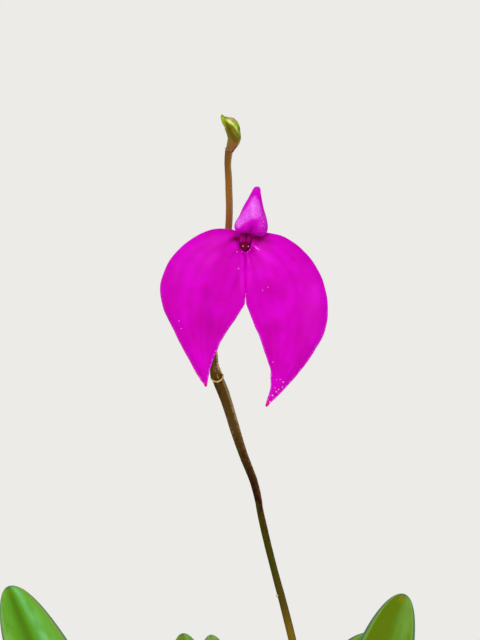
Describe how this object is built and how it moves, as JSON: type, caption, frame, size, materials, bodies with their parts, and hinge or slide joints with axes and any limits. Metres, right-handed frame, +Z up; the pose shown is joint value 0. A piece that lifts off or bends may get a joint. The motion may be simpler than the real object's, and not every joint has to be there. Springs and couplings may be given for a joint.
{
  "type": "masdevallia orchid",
  "caption": "Potted orchid in flower: a tuft of spoon-shaped leaves, a wiry stem with a bud and one magenta flower of joined sepals, in a plain clay pot.",
  "frame": {"origin": "middle of the flat underside of the pot", "axes": "+Z up the plant, the flower faces -Y"},
  "size_m": [0.1796, 0.1624, 0.3577],
  "materials": {
    "clay": "matte",
    "bark": "matte",
    "leaf": "satin",
    "stem": "satin",
    "sepal": "satin",
    "petal": "satin",
    "lip": "satin",
    "bud": "satin"
  },
  "bodies": {
    "root": {"pot": "clay", "potting_bark": "bark", "leaf_01_tall_left": "leaf", "leaf_02_tall_right": "leaf", "leaf_03_inner_back": "leaf", "leaf_04_inner_front": "leaf", "leaf_05_back_right": "leaf", "leaf_06_front_left": "leaf", "leaf_07_front": "leaf", "leaf_08_front_right": "leaf", "leaf_09_right": "leaf", "leaf_10_back_right": "leaf", "leaf_11_back": "leaf", "leaf_12_back_left": "leaf", "leaf_13_left": "leaf", "leaf_14_young_front": "leaf", "leaf_15_young_left": "leaf", "leaf_16_inner_right": "leaf", "leaf_17_young_right": "leaf", "leaf_18_inner_left": "leaf", "scape": "stem", "bud": "bud", "ovary": "stem", "sepals": "sepal", "column": "petal", "petal_left": "petal", "petal_right": "petal", "lip": "lip"}
  },
  "joints": []
}
